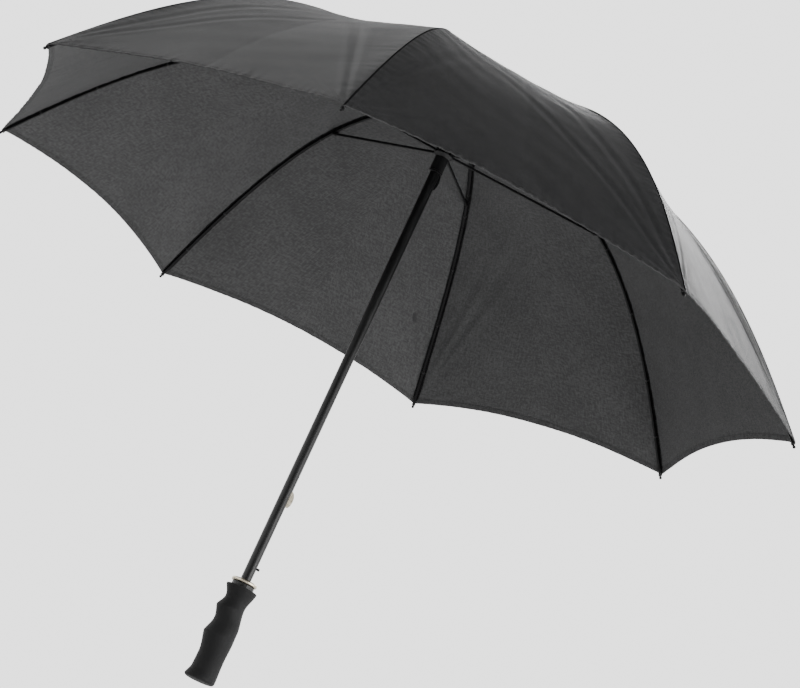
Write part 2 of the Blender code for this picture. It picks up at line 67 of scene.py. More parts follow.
# %% The camera
CAMERA_PLACE = Vector((1.8290, 2.8395, -0.3083))
PICTURE_RIGHT = Vector((-0.69609, 0.59318, 0.40448))
PICTURE_DOWN = Vector((-0.47514, 0.04175, -0.87892))
LENS = 105.9  # millimetres, on the usual 36 mm sensor


def new_object(name, data):
    thing = bpy.data.objects.new(name, data)
    bpy.context.scene.collection.objects.link(thing)
    return thing


def make_camera():
    right = PICTURE_RIGHT.normalized()
    ahead = right.cross(PICTURE_DOWN).normalized()
    down = ahead.cross(right)
    camera = new_object("camera", bpy.data.cameras.new("camera"))
    camera.data.lens = LENS
    turned_to = Matrix((right, -down, -ahead)).transposed().to_4x4()
    camera.matrix_world = Matrix.Translation(CAMERA_PLACE) @ turned_to
    bpy.context.scene.camera = camera


make_camera()
print("camera at", CAMERA_PLACE[:])

# %% [markdown]
# ## The bent ribs
#
# Every piece of cloth hangs on the ribs, so the ribs' line comes first. A rib is a springy rod, bent over the
# stretcher that holds it up. Its curvature grows evenly from nothing at the notch to its most at the stretcher's
# bracket, and falls evenly to nothing at the tip. Adding up short steps along that slope gives the line.

# %% The line of a rib
RIBS = 8
PITCH = 2 * math.pi / RIBS
NOTCH_PIN_Z = sum(corner.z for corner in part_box("notch_wire")) / 2
PIN_CIRCLE_R = 0.0125
INNER_ARC = 0.3175  # from the notch to the bracket, along the rib
OUTER_ARC = 0.4341  # and from the bracket to the tip
ROD_LENGTH = INNER_ARC + OUTER_ARC
START_SLOPE = math.radians(0.3)
BEND = math.radians(50.0)
PEAK_CURVATURE = 2 * BEND / ROD_LENGTH


def rib_slope(s):
    inner = np.minimum(s, INNER_ARC)
    past = s - inner
    turned = inner**2 / (2 * INNER_ARC) + past - past**2 / (2 * OUTER_ARC)
    return START_SLOPE + PEAK_CURVATURE * turned


line_s = np.linspace(0.0, ROD_LENGTH, 1500)
middle_slope = rib_slope((line_s[1:] + line_s[:-1]) / 2)
line_r = PIN_CIRCLE_R + np.append(0.0, np.cumsum(np.cos(middle_slope) * np.diff(line_s)))
line_z = NOTCH_PIN_Z - np.append(0.0, np.cumsum(np.sin(middle_slope) * np.diff(line_s)))


def rib_line(s, lift=0.0):
    """(radius, height) at arc length s, or that far outside the rib."""
    slope = rib_slope(s)
    radius = np.interp(s, line_s, line_r) + lift * np.sin(slope)
    return radius, np.interp(s, line_s, line_z) + lift * np.cos(slope)


print("rib tip at", [round(float(v), 4) for v in rib_line(ROD_LENGTH)])

# %% [markdown]
# ## The cloth's shape
#
# One panel fills the gap between two ribs. It is cut narrower than the gap, so the ribs hold it stretched and its
# middle hangs inside the straight line between them. Each rib owns the two halves of panel beside it, because a half
# can then fold against its own rib. A place on a half is given by s, the length along the rib, and by share, which
# is 0 on the rib and 1 in the middle of the panel. The same formula runs on both sides of every join, so the halves
# read as one sheet.

# %% The cloth's smooth shape
LIFT = 0.0038  # from the rib's centre line to the middle of the cloth
SAG = 0.0080  # how far the middle of a panel hangs in
HEM_RISE = 0.0270  # how far the hem is cut back in the middle of a panel
TIP_SHOW = 0.0080  # bare rib past the cloth's corner
CORNER_S = ROD_LENGTH - TIP_SHOW


def hem_s(share):
    return CORNER_S - HEM_RISE * share * (2 - share)


def half_width(s):
    return rib_line(s)[0] * math.sin(PITCH / 2)


def smooth_cloth(s, share):
    """Points of rib 1's half panel on the +Y side."""
    radius, height = rib_line(s, LIFT)
    slope = rib_slope(s)
    sag = SAG * np.sin(math.pi * s / ROD_LENGTH) * share * (2 - share)
    out = radius * math.cos(PITCH / 2) - sag * np.sin(slope)
    beside = radius * math.sin(PITCH / 2) * (1 - share)
    x = out * math.cos(PITCH / 2) + beside * math.sin(PITCH / 2)
    y = out * math.sin(PITCH / 2) - beside * math.cos(PITCH / 2)
    return np.stack([x, y, height - sag * np.cos(slope)], -1)


def surface_normals(shape, s, share):
    """Unit normals of a surface function, on its outer side, from small steps both ways."""
    step = 0.0004
    wide = step / np.maximum(half_width(s), 0.004)
    along = shape(s + step, share) - shape(s - step, share)
    across = shape(s, share + wide) - shape(s, share - wide)
    normal = np.cross(along, across)
    return normal / np.linalg.norm(normal, axis=-1, keepdims=True)


middle = smooth_cloth(np.array([0.5]), np.array([1.0]))[0]
print("middle of a panel at s 0.5:", middle.round(3))

# %% [markdown]
# ## Wrinkles
#
# Real cloth shows how it is held. It wrinkles in rays from each corner, where one tip pulls the whole panel, puckers
# along every sewn line, keeps a faint crease down the middle of the panel from being furled, and is never quite even
# in between. Each of these is a small height along the surface's normal, made from sines, so that it is the same each
# run and both halves of a panel can ask for it. All of them fade out on the rib itself, where two panels are sewn
# together.

# %% Heights of the wrinkles
def ripple(x, y, size, seed, waves=6):
    """A smooth uneven height from about -1 to 1, with bumps that are about size apart."""
    dice = np.random.default_rng(seed)
    total = 0.0
    for _ in range(waves):
        heading, phase = dice.uniform(0.0, 2 * math.pi, 2)
        length = size * dice.uniform(0.7, 1.5)
        total = total + np.sin(2 * math.pi * (x * math.cos(heading) + y * math.sin(heading)) / length + phase)
    return total / math.sqrt(2 * waves)


# Long creases that start at a panel's corner: (angle from the rib, depth), by (panel, corner).
LONG_CREASES = {
    (3, 1): ((0.16, 0.0014), (0.27, 0.0017), (0.42, 0.0010)),
    (3, -1): ((0.30, 0.0008),),
    (2, 1): ((0.24, 0.0007), (0.52, 0.0006)),
    (2, -1): ((0.20, 0.0008),),
    (1, 1): ((0.34, 0.0008),),
    (1, -1): ((0.22, 0.0007), (0.47, 0.0006)),
    (5, 1): ((0.25, 0.0009), (0.40, 0.0007)),
    (6, -1): ((0.21, 0.0009), (0.36, 0.0007)),
}


def corner_folds(panel, corner, up, beside):
    """Rays of small folds from one corner; up and beside are distances from it along and across the rib."""
    far = np.hypot(up, beside) + 1e-6
    angle = np.arctan2(beside, np.maximum(up, 1e-6))
    seed = 100 + 2 * panel + corner
    rays = np.cos(15 * angle + 1.5 * ripple(angle, 0 * angle, 0.6, seed))
    strength = 0.0006 + 0.0002 * math.sin(2.4 * seed)
    off_the_rib = np.sin(np.minimum(angle * 3, math.pi / 2))
    height = strength * rays * (far / 0.045) * np.exp(-far / 0.040) * off_the_rib
    for where, depth in LONG_CREASES.get((panel, corner), ()):
        off = (angle - where) * far / (0.0035 + 0.018 * far)
        fade = np.clip(far / 0.04, 0, 1) * np.clip((0.52 - far) / 0.3, 0, 1)
        height = height - depth * (np.exp(-(off**2)) - 0.55 * np.exp(-((np.abs(off) - 2.0) ** 2))) * fade
    return height


def wrinkles(panel, s, place):
    """Height of the panel's wrinkles; place runs from -1 on its first rib to 1 on its second."""
    half = half_width(s)
    near = np.maximum((1 - np.abs(place)) * half, 0.0)  # distance from the nearer rib
    sideways = place * half
    side = np.where(place < 0, 0, 1)
    to_hem = hem_s(1 - np.abs(place)) - s
    grown = np.clip(s / 0.18, 0, 1)
    broad = 0.0013 * grown * ripple(sideways, s, 0.21, panel)
    height = broad + 0.0003 * grown * ripple(sideways, s, 0.06, panel + 20)
    wander = ripple(s, 0 * s, 0.09, panel + 40)
    height = height + 0.00050 * np.sin(2 * math.pi * s / 0.0155 + 2 * wander + side) * np.exp(-near / 0.009)
    leaning = (s - 0.7 * near) / 0.041
    height = height + 0.00040 * np.sin(2 * math.pi * leaning + 3 * wander + 2 * side) * np.exp(-near / 0.026)
    along_hem = sideways / 0.0170 + ripple(sideways, 0 * s, 0.08, panel + 60)
    height = height + 0.00042 * np.sin(2 * math.pi * along_hem) * np.exp(-np.abs(to_hem) / 0.013)
    height = height - 0.0003 * np.exp(-((sideways / 0.0045) ** 2)) * grown
    for corner in (-1, 1):
        beside = (1 - corner * place) * half
        height = height + corner_folds(panel, corner, CORNER_S - s, beside)
    return height * near / (near + 0.0030)


def wrinkled_cloth(rib, side):
    """The surface function of one half panel of rib 1 with the wrinkles that the given rib's half has."""
    panel = (rib - 1) % RIBS + 1 if side > 0 else (rib - 2) % RIBS + 1

    def surface(s, share):
        s, share = np.broadcast_arrays(np.asarray(s, float), np.asarray(share, float))
        height = wrinkles(panel, s, (share - 1) if side > 0 else (1 - share))
        return smooth_cloth(s, share) + height[..., None] * surface_normals(smooth_cloth, s, share)

    return surface


def placed(points, rib, side):
    """Brings rib 1's half on the +Y side to the given rib and side."""
    x, y, z = points[..., 0], points[..., 1] * side, points[..., 2]
    turn = (rib - 1) * PITCH
    return np.stack([x * math.cos(turn) - y * math.sin(turn), x * math.sin(turn) + y * math.cos(turn), z], -1)


def cloth_at(rib, side, s, share, offset=0.0):
    """(points, normals) on a half panel, offset outwards from the middle of the cloth."""
    surface = wrinkled_cloth(rib, side)
    s, share = np.broadcast_arrays(np.asarray(s, float), np.asarray(share, float))
    normals = surface_normals(surface, s, share)
    points = surface(s, share) + np.asarray(offset, float)[..., None] * normals
    return placed(points, rib, side), placed(normals, rib, side)


sample = wrinkles(3, np.linspace(0.3, 0.7, 50), np.linspace(0.1, 0.9, 50))
print("wrinkles in mm:", [round(float(v) * 1000, 2) for v in (sample.min(), sample.max())])

# %% [markdown]
# ## Finishes, written as sums
#
# A material is a graph of nodes, which reads badly as a list of links. The two small classes below let it be
# written as arithmetic: a Value stands for a node's output, and adding or multiplying Values adds the Math nodes.
# Paint holds one material, and its node() method makes any other node.

# %% A small language for materials
class Value:
    """The output of a node, which takes part in arithmetic."""

    def __init__(self, paint, socket):
        self.paint = paint
        self.socket = socket

    def math(self, operation, first, second=0.0):
        return self.paint.node("ShaderNodeMath", {"operation": operation}, {0: first, 1: second})

    def __add__(self, other):
        return self.math("ADD", self, other)

    def __sub__(self, other):
        return self.math("SUBTRACT", self, other)

    def __mul__(self, other):
        return self.math("MULTIPLY", self, other)

    def sine(self):
        return self.math("SINE", self)

    def between(self, low, high):
        """0 where the value is under low, 1 over high, and smooth between them."""
        settings = {"interpolation_type": "SMOOTHSTEP", "clamp": True}
        return self.paint.node("ShaderNodeMapRange", settings, {0: self, 1: low, 2: high, 3: 0.0, 4: 1.0})

    __radd__ = __add__
    __rmul__ = __mul__


class Paint:
    """One material. What is the same all over it is set on the shader, and the rest comes in as Values."""

    def __init__(self, name, **fixed):
        self.material = bpy.data.materials.new(name)
        self.material.use_nodes = True
        self.tree = self.material.node_tree
        self.shader = self.tree.nodes["Principled BSDF"]
        for socket, value in fixed.items():
            self.shader.inputs[socket.replace("_", " ")].default_value = value

    def put(self, value, socket):
        if isinstance(value, Value):
            self.tree.links.new(value.socket, socket)
        else:
            socket.default_value = value

    def node(self, kind, settings=None, sockets=None, output=0):
        made = self.tree.nodes.new(kind)
        for name, setting in (settings or {}).items():
            setattr(made, name, setting)
        for name, value in (sockets or {}).items():
            self.put(value, made.inputs[name])
        return Value(self, made.outputs[output])

    def place(self, stretch=(1.0, 1.0, 1.0)):
        """Object coordinates in metres, stretched."""
        where = self.node("ShaderNodeTexCoord", output="Object")
        return self.node("ShaderNodeMapping", None, {"Vector": where, "Scale": stretch})

    def weave_place(self, stretch=(1.0, 1.0, 1.0)):
        """Metres across and along the cloth, from its own map."""
        where = self.node("ShaderNodeUVMap", {"uv_map": "cloth"})
        return self.node("ShaderNodeMapping", None, {"Vector": where, "Scale": stretch})

    def noise(self, where, scale, detail=2.0, roughness=0.5):
        sockets = {"Vector": where, "Scale": scale, "Detail": detail, "Roughness": roughness}
        return self.node("ShaderNodeTexNoise", None, sockets)

    def blend(self, first, second, share):
        """A colour between two."""
        sockets = {0: share, 6: (*first, 1.0), 7: (*second, 1.0)}
        return self.node("ShaderNodeMix", {"data_type": "RGBA"}, sockets, output=2)

    def finish(self, colour, roughness=None, height=None, depth=0.0):
        for value, socket in ((colour, "Base Color"), (roughness, "Roughness")):
            if value is not None:
                self.put(value, self.shader.inputs[socket])
        if height is not None:
            bump = {"Height": height, "Distance": depth, "Strength": 1.0}
            self.put(self.node("ShaderNodeBump", None, bump), self.shader.inputs["Normal"])
        return self.material


print("materials can be written as sums")

# %% [markdown]
# ### Cloth
#
# The canopy is a thin plain-weave polyester. From a distance it looks almost even, but up close the threads cross
# every half millimetre, and thicker and thinner yarns leave it finely mottled. The weave is two crossing sines in the
# cloth's own metres, so it follows each panel as it was cut. The outer face is calendered a little smoother, and so
# shinier, than the coated inner face, and its colour is darker as painted shade of the upper side. The hems are a
# little duller, and the seam tapes are painted near black as the shade along the ribs.

# %% Cloth, thread
WEAVE_PITCH = 0.0011  # the visible grouping of threads


def cloth_finish(name, dark, light, gloss, sheen, shine=0.22):
    paint = Paint(name, Sheen_Weight=sheen, Sheen_Roughness=0.4, Specular_IOR_Level=shine)
    paint.shader.inputs["Sheen Tint"].default_value = (0.8, 0.8, 0.82, 1.0)
    across = paint.node("ShaderNodeSeparateXYZ", None, {0: paint.weave_place()}, output=0)
    along = paint.node("ShaderNodeSeparateXYZ", None, {0: paint.weave_place()}, output=1)
    turns = 2 * math.pi / WEAVE_PITCH
    threads = (across * turns).sine() * (along * turns).sine()
    yarns = paint.noise(paint.weave_place((1.0, 0.06, 1.0)), 900.0, 1.0)
    picks = paint.noise(paint.weave_place((0.06, 1.0, 1.0)), 900.0, 1.0)
    mottle = paint.noise(paint.weave_place(), 210.0, 3.0, 0.65)
    clouds = paint.noise(paint.weave_place(), 9.0, 2.0)
    tone = mottle * 0.55 + yarns * 0.30 + picks * 0.30 + clouds * 0.20
    colour = paint.blend(dark, light, tone.between(0.54, 0.84))
    rough = gloss + 0.10 * mottle + 0.08 * clouds
    height = threads * 0.35 + yarns * 0.5 + picks * 0.5 + mottle * 0.8
    return paint.finish(colour, rough, height, 0.00016)


def thread_finish():
    paint = Paint("black_thread", Sheen_Weight=0.1, Roughness=0.55, Specular_IOR_Level=0.2)
    fuzz = paint.noise(paint.place(), 1800.0, 2.0)
    colour = paint.blend((0.0050, 0.0050, 0.0053), (0.0200, 0.0200, 0.0206), fuzz)
    return paint.finish(colour, None, fuzz, 0.0001)


# Darkest and lightest colours, then roughness, sheen and shine.
# The outer face's tones are darker than the inner face's: painted shade of the upper side, which gets less light.
OUTER_SHADED_TONES = (0.0110, 0.0110, 0.0115), (0.0230, 0.0230, 0.0236)
INNER_TONES = (0.0270, 0.0270, 0.0274), (0.0560, 0.0560, 0.0566)
HEM_TONES = (0.0260, 0.0260, 0.0264), (0.0540, 0.0540, 0.0546)
# The seam tape's near-black tones are painted shade along the ribs.
TAPE_SHADE_TONES = (0.0022, 0.0022, 0.0024), (0.0060, 0.0060, 0.0063)
CLOTH_OUTSIDE_SHADED = cloth_finish("black_cloth_outside_painted_shade", *OUTER_SHADED_TONES, 0.36, 0.06)
CLOTH_INSIDE = cloth_finish("black_cloth_inside", *INNER_TONES, 0.62, 0.06)
HEM = cloth_finish("black_hem", *HEM_TONES, 0.64, 0.04, 0.16)
SHADED_TAPE = cloth_finish("seam_tape_painted_shade", *TAPE_SHADE_TONES, 0.60, 0.0, 0.05)
THREAD = thread_finish()
print("cloth finishes:", CLOTH_OUTSIDE_SHADED.name, CLOTH_INSIDE.name, SHADED_TAPE.name)

# %% [markdown]
# ### Paint, plastic, foam and metal
#
# The shaft is steel, baked in a black powder paint: half gloss, with the slight waviness called orange peel, and uneven
# in streaks along its length. The ribs and the stretchers have the same coat, but duller. The hubs are moulded
# plastic with a fine spark texture. The grip is foam rubber, matte, with open pores. The ring and the lower catch are
# champagne-coloured plated steel, brushed round by polishing. The tips are dipped in black enamel that is chipped in
# specks, and the hubs' wires and the press stud are nickel.

# %% Hard finishes
def painted_steel(name, shine, gloss):
    paint = Paint(name, Specular_IOR_Level=shine)
    peel = paint.noise(paint.place(), 620.0, 2.0)
    rubbed = paint.noise(paint.place((1.0, 1.0, 0.08)), 240.0, 3.0, 0.6).between(0.45, 0.75)
    specks = paint.noise(paint.place(), 2600.0, 1.0).between(0.66, 0.74)
    colour = paint.blend((0.0030, 0.0030, 0.0032), (0.0090, 0.0090, 0.0094), rubbed * 0.7 + specks * 0.5)
    return paint.finish(colour, gloss + 0.16 * rubbed + 0.05 * peel, peel, 0.00006)


def moulded_plastic():
    paint = Paint("black_moulded_plastic", Specular_IOR_Level=0.28)
    spark = paint.noise(paint.place(), 3200.0, 2.0, 0.6)
    flow = paint.noise(paint.place((1.0, 1.0, 0.3)), 90.0, 2.0)
    colour = paint.blend((0.0040, 0.0040, 0.0043), (0.0090, 0.0090, 0.0094), flow.between(0.3, 0.7))
    return paint.finish(colour, 0.32 + 0.14 * flow + 0.08 * spark, spark, 0.00005)


def foam_rubber():
    paint = Paint("black_foam_rubber", Sheen_Weight=0.03, Sheen_Roughness=0.5, Specular_IOR_Level=0.16)
    cells = {"Vector": paint.place(), "Scale": 1500.0, "Randomness": 1.0}
    # The pores are pits in the bump, and they are also painted darker: painted shade inside the pits.
    pore_pits_and_shade = paint.node("ShaderNodeTexVoronoi", {"feature": "F1"}, cells).between(0.08, 0.42)
    skin = paint.noise(paint.place(), 260.0, 4.0, 0.6)
    handled = paint.noise(paint.place(), 34.0, 2.0)
    tone = 0.45 * pore_pits_and_shade + 0.35 * skin + 0.3 * handled
    colour = paint.blend((0.0018, 0.0018, 0.0019), (0.0085, 0.0085, 0.0088), tone)
    return paint.finish(colour, 0.66 + 0.14 * skin - 0.10 * handled, pore_pits_and_shade * 0.6 + skin * 0.9, 0.00018)


def plated_metal(name, dark, light, gloss):
    paint = Paint(name, Metallic=1.0)
    rings = paint.noise(paint.place((0.15, 0.15, 1.0)), 5200.0, 2.0)
    stain = paint.noise(paint.place(), 160.0, 3.0, 0.6)
    colour = paint.blend(dark, light, stain.between(0.25, 0.7))
    return paint.finish(colour, gloss + 0.12 * stain + 0.08 * rings, rings * 0.6 + stain * 0.6, 0.00003)


def black_enamel():
    paint = Paint("black_tip_enamel", Specular_IOR_Level=0.18)
    chips = paint.noise(paint.place(), 900.0, 3.0, 0.6).between(0.66, 0.72)
    drips = paint.noise(paint.place(), 300.0, 1.0)
    colour = paint.blend((0.0030, 0.0030, 0.0032), (0.0500, 0.0500, 0.0500), chips)
    return paint.finish(colour, 0.20 + 0.18 * drips, drips, 0.00004)


SHAFT_PAINT = painted_steel("black_powder_paint", 0.28, 0.34)
RIB_PAINT = painted_steel("black_rib_lacquer", 0.12, 0.46)
ENAMEL = black_enamel()
PLASTIC = moulded_plastic()
FOAM = foam_rubber()
CHAMPAGNE = plated_metal("champagne_plating", (0.42, 0.37, 0.28), (0.78, 0.71, 0.57), 0.24)
NICKEL = plated_metal("nickel", (0.36, 0.36, 0.36), (0.66, 0.66, 0.65), 0.20)
print("hard finishes:", [m.name for m in (SHAFT_PAINT, RIB_PAINT, PLASTIC, FOAM, CHAMPAGNE, NICKEL)])

# %% [markdown]
# ## From arrays to meshes
#
# Most pieces here are grids or tubes whose points come from a formula, so one function turns arrays into an object.
# It stands at the origin with its place in its mesh. A closed tube is turned the right way out by its volume: if the
# volume comes out negative, its faces point inwards and all are flipped.

# %% Helpers for meshes
def add_object(name, points, faces, finishes):
    mesh = bpy.data.meshes.new(name)
    corners = [tuple(int(i) for i in face) for face in faces]
    mesh.from_pydata(np.asarray(points).reshape(-1, 3).tolist(), [], corners)
    for finish in finishes:
        mesh.materials.append(finish)
    return new_object(name, mesh)


def smooth(thing, sharp=38):
    thing.data.shade_smooth()
    thing.data.set_sharp_from_angle(angle=math.radians(sharp))
    return thing


def tube_faces(rings, around, closed=False, first=0):
    """Faces of a tube through rings of points, with a cap at each end unless it closes on itself."""
    faces = []
    for i in range(rings if closed else rings - 1):
        low, high = first + i * around, first + (i + 1) % rings * around
        faces += [(low + j, low + (j + 1) % around, high + (j + 1) % around, high + j) for j in range(around)]
    if not closed:
        faces += [tuple(first + j for j in reversed(range(around)))]
        faces += [tuple(first + (rings - 1) * around + j for j in range(around))]
    return faces


def face_outwards(thing):
    """Flips a closed mesh whose volume is negative."""
    mesh = thing.data
    mesh.calc_loop_triangles()
    co = np.array([v.co for v in mesh.vertices])
    corners = co[np.array([t.vertices for t in mesh.loop_triangles])]
    if np.einsum("ij,ij->", corners[:, 0], np.cross(corners[:, 1], corners[:, 2])) < 0:
        mesh.flip_normals()
    return thing


def tube(name, rings, finishes, closed=False):
    """rings holds the points of each ring, all of the same number."""
    rings = np.asarray(rings)
    faces = tube_faces(rings.shape[0], rings.shape[1], closed)
    return face_outwards(add_object(name, rings, faces, finishes))


def map_cloth(thing, across, along):
    """Gives a mesh its map in metres, from one value for each point."""
    chart = thing.data.uv_layers.new(name="cloth")
    corner = np.zeros(len(thing.data.loops), int)
    thing.data.loops.foreach_get("vertex_index", corner)
    chart.data.foreach_set("uv", np.stack([across[corner], along[corner]], -1).astype(np.float32).ravel())


print("helpers ready")

# %% [markdown]
# ## The canopy's panels
#
# A half panel is a grid of points on the outer face, the same grid half a millimetre further in, and a rim between
# them, so it is a closed sheet with a real thickness. It is cut once more where the rib turns on its bracket, which
# is where the ribs bend when the umbrella is furled. The shading normals come from the formula and not from the
# faces, so the pieces show no line where they meet.

# %% Build the panels
CLOTH = 0.0005  # its thickness
START_S = 0.0008  # the cloth begins this far out from the rib hinges
COLUMNS = 40
ROWS = {"inner": 64, "outer": 104}
shares = (np.arange(COLUMNS + 1) / COLUMNS) ** 1.2
SIDE_NAMES = {1: "left", -1: "right"}


def body_of(rib, zone):
    return f"rib_{rib}" if zone == "inner" else f"rib_end_{rib}"


def half_grid(zone):
    """s and share for each point of a half panel's grid."""
    down = np.linspace(0.0, 1.0, ROWS[zone] + 1)[:, None]
    if zone == "inner":
        s = START_S + (INNER_ARC - START_S) * down + 0 * shares
    else:
        s = INNER_ARC + (hem_s(shares) - INNER_ARC) * down
    return s, shares + 0 * s


def gather(thing, rib, side, zone):
    """Works out the rib's chord, the way square to it and the piece's first point, and gives the piece its own mesh;
    the piece is not moved.
    """
    ends = (START_S, INNER_ARC) if zone == "inner" else (INNER_ARC, CORNER_S)
    zero = np.zeros(1)
    first, last = (smooth_cloth(zero + s, zero)[0] for s in ends)
    middle = smooth_cloth(zero + (ends[0] + ends[1]) / 2, zero + 1)[0] - (first + last) / 2
    chord = (last - first) / np.linalg.norm(last - first)
    axis = placed(middle - (middle @ chord) * chord, rib, side)
    anchor = placed(first, rib, side).tolist()
    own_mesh(thing)


def half_panel(rib, side, zone):
    s, share = half_grid(zone)
    rows, columns = s.shape
    top, normals = cloth_at(rib, side, s, share, CLOTH / 2)
    points = np.concatenate([top.reshape(-1, 3), (top - CLOTH * normals).reshape(-1, 3)])
    count = rows * columns
    grid = np.arange(count).reshape(rows, columns)
    quads = np.stack([grid[:-1, :-1], grid[1:, :-1], grid[1:, 1:], grid[:-1, 1:]], -1).reshape(-1, 4)
    edge = np.concatenate([grid[:-1, 0], grid[-1, :-1], grid[:0:-1, -1], grid[0, :0:-1]])
    after = np.roll(edge, -1)
    rim = np.stack([after, edge, edge + count, after + count], -1)
    faces = np.concatenate([quads, quads[:, ::-1] + count, rim])
    if side < 0:
        faces = faces[:, ::-1]
    name = f"canopy_{zone}_{SIDE_NAMES[side]}_{rib}"
    thing = add_object(name, points, faces, (CLOTH_OUTSIDE_SHADED, CLOTH_INSIDE))
    inside = np.zeros(len(faces), np.int32)
    inside[len(quads) : 2 * len(quads)] = 1
    thing.data.polygons.foreach_set("material_index", inside)
    across = np.tile((share * half_width(s) * side).ravel(), 2)
    map_cloth(thing, across, np.tile(s.ravel(), 2))
    shading = np.concatenate([normals.reshape(-1, 3), -normals.reshape(-1, 3)])[faces]
    corners = points[faces[2 * len(quads) :]]
    square = np.cross(corners[:, 1] - corners[:, 0], corners[:, 3] - corners[:, 0])
    square /= np.linalg.norm(square, axis=1, keepdims=True)
    shading[2 * len(quads) :] = square[:, None]
    thing.data.shade_smooth()
    thing.data.normals_split_custom_set(shading.reshape(-1, 3).tolist())
    corners = points[quads]
    doubled = np.cross(corners[:, 2] - corners[:, 0], corners[:, 3] - corners[:, 1])
    return thing, float(np.linalg.norm(doubled, axis=1).sum() / 2)


panels = {}
for rib in range(1, RIBS + 1):
    for side in SIDE_NAMES:
        for zone in ROWS:
            panels[rib, side, zone] = half_panel(rib, side, zone)
print("panels:", len(panels), "flat area", round(sum(area for _, area in panels.values()), 3), "m2")

# %% [markdown]
# ## Hems and seams
#
# The panels' lower edges are folded under and sewn, which leaves a soft roll at the edge and a doubled band inside.
# The panels are sewn to each other over the ribs. Outside, that shows as a low welt. Inside, the spare cloth of both
# panels lies open as a tape on each side of the rib, painted near black as the shade along the rib. Each is a small
# cross-section swept along the cloth, in which a point is a distance from the edge and a height above the middle of
# the cloth.

# %% Build the hems and the seam tapes
HEM_SECTION = np.array([
    (0.0088, -0.00027), (0.0090, -0.00070), (0.0012, -0.00095), (0.0000, -0.00085), (-0.0006, -0.00030),
    (-0.0005, 0.00025), (0.0002, 0.00050), (0.0014, 0.00027),
])
SEAM_SECTION = np.array([
    (-0.0055, -0.00027), (-0.0055, -0.00065), (-0.0030, -0.00085), (0.0, -0.00095), (0.0030, -0.00085),
    (0.0055, -0.00065), (0.0055, -0.00027), (0.0016, -0.00020), (0.0013, 0.00035), (0.0007, 0.00070),
    (0.0, 0.00085), (-0.0007, 0.00070), (-0.0013, 0.00035), (-0.0016, -0.00020),
])


def hem(rib, side):
    steps = np.linspace(0.0, 1.0, 91)
    inward, height = HEM_SECTION.T
    s = hem_s(steps)[:, None] - inward
    share = steps[:, None] + 0 * s
    points = cloth_at(rib, side, s, share, height + 0 * s)[0]
    thing = smooth(tube(f"hem_{SIDE_NAMES[side]}_{rib}", points, (HEM,)), 70)
    map_cloth(thing, (share * half_width(s)).ravel(), s.ravel())
    return thing


def seam(rib, zone):
    first, last = (0.0095, INNER_ARC) if zone == "inner" else (INNER_ARC, CORNER_S - 0.0010)
    s = np.linspace(first, last, 90)
    columns = []
    for beside, height in SEAM_SECTION:
        if beside == 0.0:
            radius, up = rib_line(s, LIFT + height)
            columns.append(placed(np.stack([radius, 0 * s, up], -1), rib, 1))
        else:
            side = 1 if beside > 0 else -1
            share = np.minimum(abs(beside) / half_width(s), 1.0)
            columns.append(cloth_at(rib, side, s, share, height + 0 * s)[0])
    thing = smooth(tube(f"seam_{zone}_{rib}", np.stack(columns, 1), (SHADED_TAPE,)), 60)
    across = np.tile(SEAM_SECTION[:, 0], len(s))
    map_cloth(thing, across, np.repeat(s, len(SEAM_SECTION)))
    return thing


hems = {(rib, side): hem(rib, side) for rib in range(1, RIBS + 1) for side in SIDE_NAMES}
seams = {(rib, zone): seam(rib, zone) for rib in range(1, RIBS + 1) for zone in ROWS}
print("hems:", len(hems), "seams:", len(seams))

# %% [markdown]
# ## Stitches
#
# A row of stitches is one small bead of thread repeated at an even spacing, which is what Geometry Nodes are for. The
# tree takes a line, sets points along it, puts a bead on each point and turns it along the line. The beads are then
# made real and turned into a plain mesh, because a plain mesh is what other programs can read.

# %% The stitching tree
def new_tree(name, inputs):
    tree = bpy.data.node_groups.new(name, "GeometryNodeTree")
    tree.interface.new_socket("Line", in_out="INPUT", socket_type="NodeSocketGeometry")
    for label, kind in inputs:
        tree.interface.new_socket(label, in_out="INPUT", socket_type=kind)
    tree.interface.new_socket("Thread", in_out="OUTPUT", socket_type="NodeSocketGeometry")
    return tree, tree.nodes.new("NodeGroupInput"), tree.nodes.new("NodeGroupOutput")


def tree_node(tree, kind, settings=None, sockets=None):
    made = tree.nodes.new(kind)
    for name, setting in (settings or {}).items():
        setattr(made, name, setting)
    for name, value in (sockets or {}).items():
        if isinstance(value, bpy.types.NodeSocket):
            tree.links.new(value, made.inputs[name])
        else:
            made.inputs[name].default_value = value
    return made


def finished_tree(tree, start, end, last):
    """Makes the last node's beads or tubes real and gives them the thread's finish."""
    real = tree_node(tree, "GeometryNodeRealizeInstances", None, {"Geometry": last.outputs[0]})
    sockets = {"Geometry": real.outputs[0], "Material": start.outputs["Finish"]}
    dyed = tree_node(tree, "GeometryNodeSetMaterial", None, sockets)
    tree.links.new(dyed.outputs[0], end.inputs[0])
    return tree


